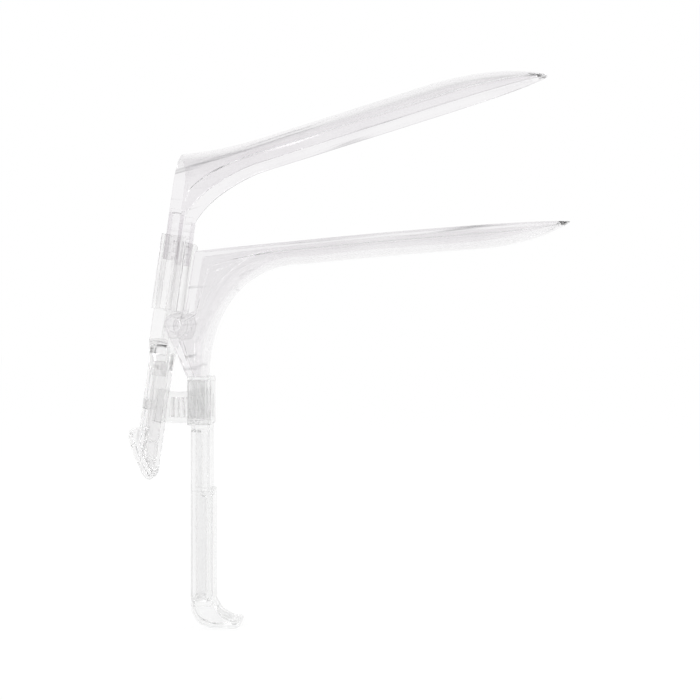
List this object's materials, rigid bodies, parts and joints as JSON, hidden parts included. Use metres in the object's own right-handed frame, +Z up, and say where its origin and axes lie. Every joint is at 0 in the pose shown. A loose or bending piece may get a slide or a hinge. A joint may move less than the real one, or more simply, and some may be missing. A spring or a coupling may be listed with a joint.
{
  "type": "bivalve speculum",
  "caption": "Clear hand-held bivalve speculum: two trough blades, hinged yoke with thumb lever, toothed strap and hooked grip.",
  "frame": {"origin": "middle of the grip: half way through its depth, on the plane of symmetry", "axes": "+X towards the blades' tips, +Y across to the far side, +Z up along the handle towards the mouth"},
  "size_m": [0.1353, 0.0432, 0.171],
  "materials": {
    "clear_blade": "glossy clear plastic",
    "clear_lever": "clear plastic, finely marked by its mould",
    "clear_strap": "clear plastic, satin"
  },
  "bodies": {
    "handle": {"lower_blade_handle": "clear_blade"},
    "lever": {"yoke_lever": "clear_lever", "ratchet_strap": "clear_strap"},
    "upper_blade": {"upper_blade": "clear_blade"}
  },
  "joints": [
    {"name": "blade_opening", "type": "hinge", "parent": "handle", "child": "lever", "pos_m": [-0.0075, 0, 0.057], "axis": [0, -1, 0], "range_deg": [-14.5, 10.88]},
    {"name": "height_slide", "type": "slide", "parent": "lever", "child": "upper_blade", "axis": [0.1392, 0, 0.9903], "range_m": [-0.0145, 0]}
  ]
}
